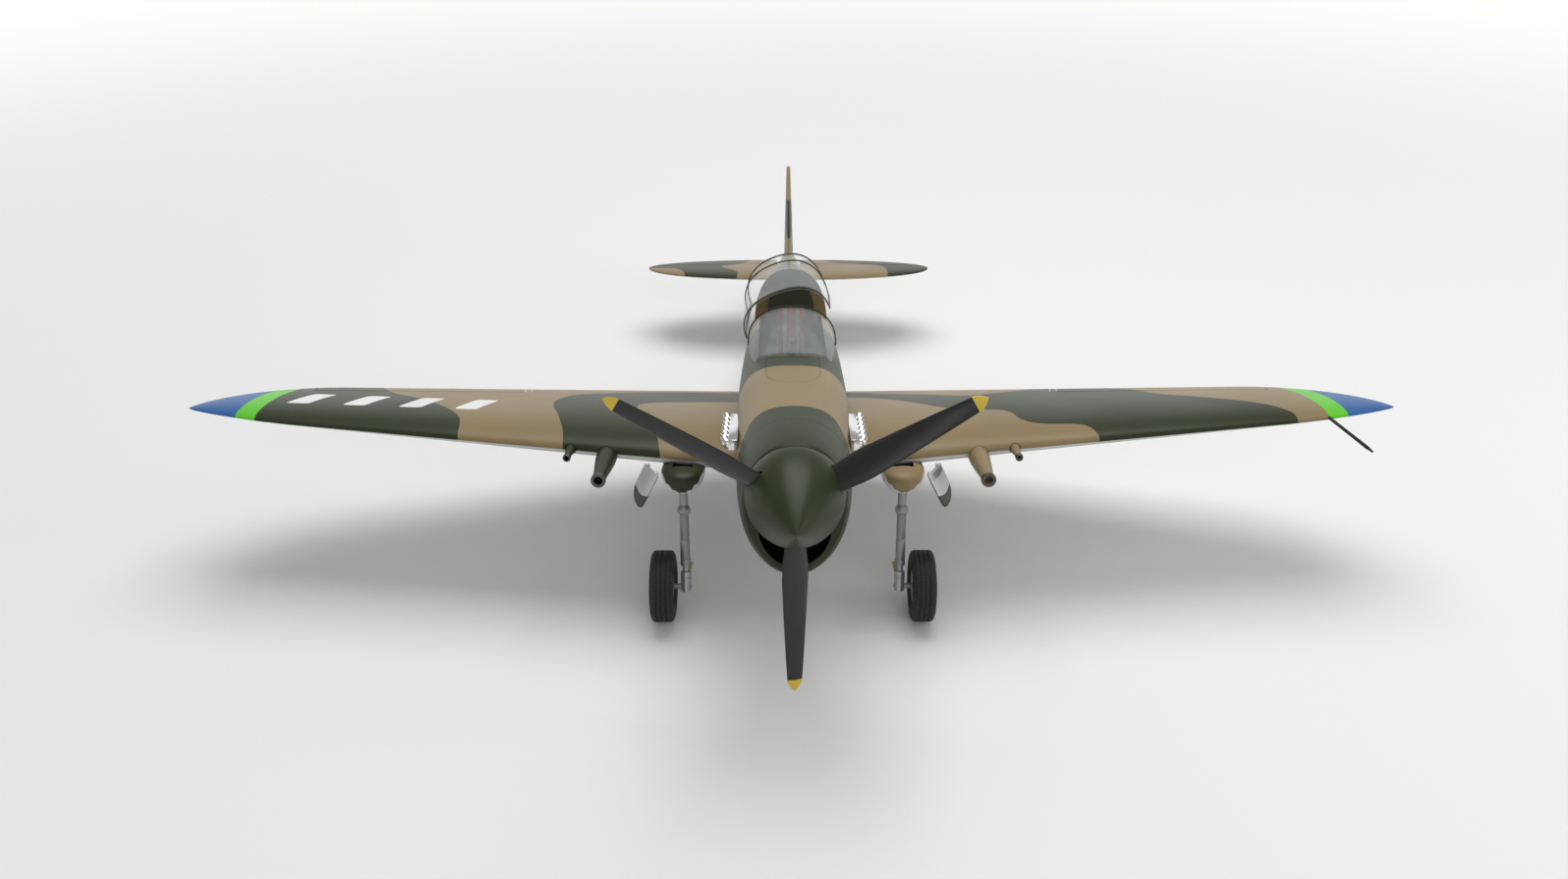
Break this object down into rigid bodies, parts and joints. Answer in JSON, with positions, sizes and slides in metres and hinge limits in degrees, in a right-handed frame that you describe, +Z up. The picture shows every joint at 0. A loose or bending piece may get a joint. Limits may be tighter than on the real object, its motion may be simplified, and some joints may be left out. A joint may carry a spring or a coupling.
{
  "type": "radio controlled warbird plane",
  "caption": "Low-wing radio controlled fighter model on a tail-wheel undercarriage, with a spinning propeller, hinged flying surfaces, folding legs, opening canopy and battery hatch.",
  "frame": {"origin": "on the ground, under the middle of the span and of the overall length", "axes": "+Z up, nose towards -Y, +X towards the plane's left wing tip, standing tail down on its three wheels"},
  "size_m": [1.4, 1.1709, 0.3716],
  "materials": {
    "camouflage_paint": "satin",
    "propeller_nylon": "satin",
    "motor_metal": "machined",
    "plywood": "raw",
    "strut_metal": "satin",
    "polished_steel": "polished",
    "hub_metal": "satin",
    "tyre_rubber": "matt",
    "clear_plastic": "clear",
    "electronics_plastic": "gloss",
    "black_plastic": "matt",
    "cockpit_paint": "matt",
    "seat_leather": "satin",
    "carbon_tube": "satin",
    "grey_paint": "satin",
    "exhaust_chrome": "polished"
  },
  "bodies": {
    "airframe": {"aileron_servo_left": "electronics_plastic", "aileron_servo_right": "electronics_plastic", "battery": "electronics_plastic", "cockpit_tub": "cockpit_paint", "elevator_servo": "electronics_plastic", "exhaust_stack_left": "exhaust_chrome", "exhaust_stack_right": "exhaust_chrome", "fin": "camouflage_paint", "fuselage": "camouflage_paint", "gear_fairing_left": "camouflage_paint", "gear_fairing_right": "camouflage_paint", "gun_large_left": "camouflage_paint", "gun_large_right": "camouflage_paint", "gun_small_left": "camouflage_paint", "gun_small_right": "camouflage_paint", "instrument_panel": "black_plastic", "motor_mount": "plywood", "motor_stator": "motor_metal", "nose_cowl": "camouflage_paint", "pitot_tube": "black_plastic", "rear_window_left": "clear_plastic", "rear_window_right": "clear_plastic", "receiver": "black_plastic", "retract_unit_left": "black_plastic", "retract_unit_right": "black_plastic", "rudder_servo": "electronics_plastic", "seat": "seat_leather", "speed_controller": "black_plastic", "stabilizer": "camouflage_paint", "windscreen": "clear_plastic", "wing_left": "camouflage_paint", "wing_right": "camouflage_paint", "wing_spar_tube": "carbon_tube"},
    "propeller_group": {"spinner": "camouflage_paint", "spinner_backplate": "propeller_nylon", "propeller": "propeller_nylon", "motor_bell": "motor_metal"},
    "hatch": {"battery_hatch": "camouflage_paint"},
    "canopy": {"canopy_glass": "clear_plastic", "canopy_frame": "camouflage_paint"},
    "elevator_surface": {"elevator": "camouflage_paint"},
    "rudder_surface": {"rudder": "camouflage_paint"},
    "tail_strut": {"tail_leg": "strut_metal"},
    "tail_roller": {"tail_wheel": "tyre_rubber"},
    "aileron_left_surface": {"aileron_left": "camouflage_paint"},
    "flap_left_surface": {"flap_left": "camouflage_paint"},
    "aileron_right_surface": {"aileron_right": "camouflage_paint"},
    "flap_right_surface": {"flap_right": "camouflage_paint"},
    "leg_left": {"trunnion_left": "strut_metal"},
    "strut_left": {"oleo_cylinder_left": "strut_metal"},
    "axle_left": {"oleo_piston_left": "polished_steel"},
    "wheel_left": {"wheel_hub_left": "hub_metal", "tyre_left": "tyre_rubber"},
    "door_left": {"gear_door_left": "grey_paint"},
    "leg_right": {"trunnion_right": "strut_metal"},
    "strut_right": {"oleo_cylinder_right": "strut_metal"},
    "axle_right": {"oleo_piston_right": "polished_steel"},
    "wheel_right": {"wheel_hub_right": "hub_metal", "tyre_right": "tyre_rubber"},
    "door_right": {"gear_door_right": "grey_paint"}
  },
  "joints": [
    {"name": "propeller_spin", "type": "hinge", "parent": "airframe", "child": "propeller_group", "pos_m": [0, -0.503, 0.26792], "axis": [0, 0.9833, -0.1822], "continuous": true},
    {"name": "aileron_left_hinge", "type": "hinge", "parent": "airframe", "child": "aileron_left_surface", "pos_m": [0.336, -0.09723, 0.16109], "axis": [-0.9798, 0.1646, -0.1138], "range_deg": [-22, 22]},
    {"name": "flap_left_hinge", "type": "hinge", "parent": "airframe", "child": "flap_left_surface", "pos_m": [0.076, -0.05719, 0.11817], "axis": [-0.979, 0.1565, -0.1307], "range_deg": [0, 45]},
    {"name": "aileron_right_hinge", "type": "hinge", "parent": "airframe", "child": "aileron_right_surface", "pos_m": [-0.336, -0.09723, 0.16109], "axis": [-0.9798, -0.1646, 0.1138], "range_deg": [-22, 22]},
    {"name": "flap_right_hinge", "type": "hinge", "parent": "airframe", "child": "flap_right_surface", "pos_m": [-0.076, -0.05719, 0.11817], "axis": [-0.979, -0.1565, 0.1307], "range_deg": [0, 45]},
    {"name": "elevator_hinge", "type": "hinge", "parent": "airframe", "child": "elevator_surface", "pos_m": [0, 0.45074, 0.11302], "axis": [1, 0, 0], "range_deg": [-22, 22]},
    {"name": "rudder_hinge", "type": "hinge", "parent": "airframe", "child": "rudder_surface", "pos_m": [0, 0.50117, 0.13266], "axis": [0, 0.1822, 0.9833], "range_deg": [-28, 28]},
    {"name": "tail_steer", "type": "hinge", "parent": "airframe", "child": "tail_strut", "pos_m": [0, 0.38138, 0.0735], "axis": [0, 0.1822, 0.9833], "range_deg": [-28, 28]},
    {"name": "tail_wheel_spin", "type": "hinge", "parent": "tail_strut", "child": "tail_roller", "pos_m": [0, 0.38805, 0.01728], "axis": [1, 0, 0], "continuous": true},
    {"name": "canopy_hinge", "type": "hinge", "parent": "airframe", "child": "canopy", "pos_m": [-0.054, -0.13551, 0.2588], "axis": [0, -0.9833, 0.1822], "range_deg": [-20, 65]},
    {"name": "hatch_lift", "type": "slide", "parent": "airframe", "child": "hatch", "axis": [0, 0.1822, 0.9833], "range_m": [0, 0.06]},
    {"name": "gear_left_retract", "type": "hinge", "parent": "airframe", "child": "leg_left", "pos_m": [0.123, -0.3088, 0.16887], "axis": [1, 0, 0], "range_deg": [0, 84]},
    {"name": "gear_left_twist", "type": "hinge", "parent": "leg_left", "child": "strut_left", "pos_m": [0.123, -0.31427, 0.13937], "axis": [0, 0.1822, 0.9833], "range_deg": [0, 90]},
    {"name": "oleo_left_slide", "type": "slide", "parent": "strut_left", "child": "axle_left", "axis": [0, 0.1822, 0.9833], "range_m": [0, 0.006], "stiffness_N_per_m": 5000, "springref_m": -0.003},
    {"name": "wheel_left_spin", "type": "hinge", "parent": "axle_left", "child": "wheel_left", "pos_m": [0.149, -0.33245, 0.04124], "axis": [1, 0, 0], "continuous": true},
    {"name": "door_left_hinge", "type": "hinge", "parent": "airframe", "child": "door_left", "pos_m": [0.15, -0.31011, 0.17827], "axis": [0.4254, 0.8899, -0.1649], "range_deg": [0, 50]},
    {"name": "gear_right_retract", "type": "hinge", "parent": "airframe", "child": "leg_right", "pos_m": [-0.123, -0.3088, 0.16887], "axis": [1, 0, 0], "range_deg": [0, 84]},
    {"name": "gear_right_twist", "type": "hinge", "parent": "leg_right", "child": "strut_right", "pos_m": [-0.123, -0.31427, 0.13937], "axis": [0, -0.1822, -0.9833], "range_deg": [0, 90]},
    {"name": "oleo_right_slide", "type": "slide", "parent": "strut_right", "child": "axle_right", "axis": [0, 0.1822, 0.9833], "range_m": [0, 0.006], "stiffness_N_per_m": 5000, "springref_m": -0.003},
    {"name": "wheel_right_spin", "type": "hinge", "parent": "axle_right", "child": "wheel_right", "pos_m": [-0.149, -0.33245, 0.04124], "axis": [1, 0, 0], "continuous": true},
    {"name": "door_right_hinge", "type": "hinge", "parent": "airframe", "child": "door_right", "pos_m": [-0.15, -0.31011, 0.17827], "axis": [0.4254, -0.8899, 0.1649], "range_deg": [0, 50]}
  ],
  "couplings": [
    {"joint": "aileron_right_hinge", "follows": "aileron_left_hinge", "ratio": -1},
    {"joint": "flap_right_hinge", "follows": "flap_left_hinge", "ratio": 1},
    {"joint": "tail_steer", "follows": "rudder_hinge", "ratio": 1},
    {"joint": "gear_left_twist", "follows": "gear_left_retract", "ratio": 1.0714},
    {"joint": "gear_right_retract", "follows": "gear_left_retract", "ratio": 1},
    {"joint": "gear_right_twist", "follows": "gear_left_retract", "ratio": 1.0714},
    {"joint": "door_left_hinge", "follows": "gear_left_retract", "ratio": 0.59524},
    {"joint": "door_right_hinge", "follows": "gear_left_retract", "ratio": 0.59524}
  ]
}
